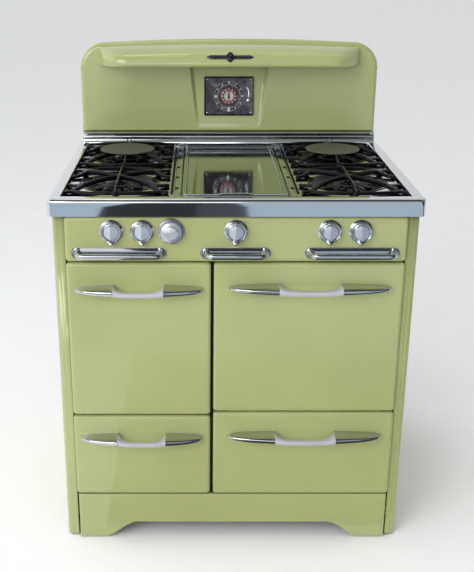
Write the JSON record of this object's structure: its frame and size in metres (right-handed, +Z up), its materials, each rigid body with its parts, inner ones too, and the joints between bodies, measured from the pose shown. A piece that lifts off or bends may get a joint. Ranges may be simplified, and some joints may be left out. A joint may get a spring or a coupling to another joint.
{
  "type": "freestanding gas range",
  "caption": "Freestanding gas range with four burners, a centre griddle, an oven over a broiler drawer, a storage cupboard over a drawer, and a high backsplash with a clock.",
  "frame": {"origin": "on the floor under the middle of the overall box", "axes": "+X to the right of someone facing the range, +Y from the doors towards the wall, +Z up; metres"},
  "size_m": [0.914, 0.798, 1.2565],
  "materials": {
    "enamel": "gloss vitreous enamel",
    "chrome": "polished plate",
    "black_iron": "gloss black porcelain on cast iron",
    "steel": "zinc-plated sheet",
    "liner_enamel": "speckled dark blue enamel",
    "brass": "turned",
    "dial_red": "satin",
    "hand_black": "satin",
    "disc_enamel": "satin dark enamel"
  },
  "bodies": {
    "chassis": {"base_frame": "steel", "levelling_feet": "black_iron", "base_skirt": "enamel", "side_panel_left": "enamel", "side_panel_right": "enamel", "back_panel": "steel", "front_frame": "steel", "control_panel": "enamel", "knob_bezels": "chrome", "knob_guards": "chrome", "manifold_pipe": "steel", "gas_valves": "brass", "top_burners": "black_iron", "griddle_burner": "black_iron", "burner_bowls": "black_iron", "cooktop": "chrome", "griddle_frame": "chrome", "vent_rail": "chrome", "backsplash": "enamel", "emblem": "chrome", "clock_plate": "chrome", "clock_dial": "dial_red", "oven_liner": "liner_enamel", "oven_floor": "liner_enamel", "oven_burner": "black_iron", "broiler_liner": "liner_enamel", "storage_liner": "enamel", "drawer_runners": "steel", "flue_duct": "steel", "oven_rack": "steel"},
    "oven_door": {"oven_door_skin": "enamel", "oven_door_liner": "liner_enamel", "oven_door_handle": "chrome"},
    "storage_door": {"storage_door_skin": "enamel", "storage_door_liner": "liner_enamel", "storage_door_handle": "chrome"},
    "storage_drawer": {"storage_drawer_front": "enamel", "storage_drawer_box": "steel", "storage_drawer_handle": "chrome"},
    "broiler_drawer": {"broiler_drawer_front": "enamel", "broiler_drawer_carriage": "steel", "broiler_drawer_handle": "chrome", "broiler_pan": "liner_enamel"},
    "knob_1": {"knob_1": "chrome"},
    "knob_2": {"knob_2": "chrome"},
    "knob_3": {"knob_3": "chrome"},
    "knob_4": {"knob_4": "chrome"},
    "knob_5": {"knob_5": "chrome"},
    "thermostat_knob": {"thermostat_knob": "chrome"},
    "minute_hand": {"minute_hand": "hand_black"},
    "hour_hand": {"hour_hand": "hand_black"},
    "timer_ring": {"timer_ring": "chrome"},
    "grate_front_left": {"grate_front_left": "black_iron"},
    "grate_front_right": {"grate_front_right": "black_iron"},
    "grate_rear_left": {"grate_rear_left": "black_iron"},
    "grate_rear_right": {"grate_rear_right": "black_iron"},
    "burner_cover_left": {"burner_cover_left": "disc_enamel"},
    "burner_cover_right": {"burner_cover_right": "disc_enamel"},
    "griddle_plate": {"griddle_plate": "steel"},
    "griddle_cover": {"griddle_cover": "chrome"}
  },
  "joints": [
    {"name": "oven_door_hinge", "type": "hinge", "parent": "chassis", "child": "oven_door", "pos_m": [0.18, -0.347, 0.389], "axis": [1, 0, 0], "range_deg": [0, 88], "stiffness_Nm_per_rad": 10},
    {"name": "storage_door_hinge", "type": "hinge", "parent": "chassis", "child": "storage_door", "pos_m": [-0.239, -0.347, 0.379], "axis": [1, 0, 0], "range_deg": [0, 88], "stiffness_Nm_per_rad": 8},
    {"name": "storage_drawer_slide", "type": "slide", "parent": "chassis", "child": "storage_drawer", "axis": [0, -1, 0], "range_m": [0, 0.38]},
    {"name": "broiler_drawer_slide", "type": "slide", "parent": "chassis", "child": "broiler_drawer", "axis": [0, -1, 0], "range_m": [0, 0.38]},
    {"name": "knob_1_turn", "type": "hinge", "parent": "chassis", "child": "knob_1", "pos_m": [-0.303, -0.361, 0.871], "axis": [0, -1, 0], "range_deg": [0, 90]},
    {"name": "knob_2_turn", "type": "hinge", "parent": "chassis", "child": "knob_2", "pos_m": [-0.228, -0.361, 0.871], "axis": [0, -1, 0], "range_deg": [0, 90]},
    {"name": "knob_3_turn", "type": "hinge", "parent": "chassis", "child": "knob_3", "pos_m": [0, -0.361, 0.871], "axis": [0, -1, 0], "range_deg": [0, 90]},
    {"name": "knob_4_turn", "type": "hinge", "parent": "chassis", "child": "knob_4", "pos_m": [0.228, -0.361, 0.871], "axis": [0, -1, 0], "range_deg": [0, 90]},
    {"name": "knob_5_turn", "type": "hinge", "parent": "chassis", "child": "knob_5", "pos_m": [0.303, -0.361, 0.871], "axis": [0, -1, 0], "range_deg": [0, 90]},
    {"name": "thermostat_turn", "type": "hinge", "parent": "chassis", "child": "thermostat_knob", "pos_m": [-0.157, -0.361, 0.871], "axis": [0, -1, 0], "range_deg": [0, 280]},
    {"name": "minute_hand_turn", "type": "hinge", "parent": "chassis", "child": "minute_hand", "pos_m": [0, 0.356, 1.0885], "axis": [0, 0.9936, -0.1127], "continuous": true},
    {"name": "hour_hand_turn", "type": "hinge", "parent": "chassis", "child": "hour_hand", "pos_m": [0, 0.356, 1.0885], "axis": [0, 0.9936, -0.1127], "continuous": true},
    {"name": "timer_ring_turn", "type": "hinge", "parent": "chassis", "child": "timer_ring", "pos_m": [0, 0.356, 1.0885], "axis": [0, 0.9936, -0.1127], "range_deg": [0, 330]},
    {"name": "grate_front_left_lift", "type": "slide", "parent": "chassis", "child": "grate_front_left", "axis": [0, 0, 1], "range_m": [0, 0.06]},
    {"name": "grate_front_right_lift", "type": "slide", "parent": "chassis", "child": "grate_front_right", "axis": [0, 0, 1], "range_m": [0, 0.06]},
    {"name": "grate_rear_left_lift", "type": "slide", "parent": "chassis", "child": "grate_rear_left", "axis": [0, 0, 1], "range_m": [0, 0.06]},
    {"name": "grate_rear_right_lift", "type": "slide", "parent": "chassis", "child": "grate_rear_right", "axis": [0, 0, 1], "range_m": [0, 0.06]},
    {"name": "burner_cover_left_lift", "type": "slide", "parent": "grate_rear_left", "child": "burner_cover_left", "axis": [0, 0, 1], "range_m": [0, 0.06]},
    {"name": "burner_cover_right_lift", "type": "slide", "parent": "grate_rear_right", "child": "burner_cover_right", "axis": [0, 0, 1], "range_m": [0, 0.06]},
    {"name": "griddle_plate_lift", "type": "slide", "parent": "chassis", "child": "griddle_plate", "axis": [0, 0, 1], "range_m": [0, 0.05]},
    {"name": "griddle_cover_lift", "type": "slide", "parent": "griddle_plate", "child": "griddle_cover", "axis": [0, 0, 1], "range_m": [0, 0.08]}
  ],
  "couplings": [
    {"joint": "hour_hand_turn", "follows": "minute_hand_turn", "ratio": 0.083333}
  ]
}
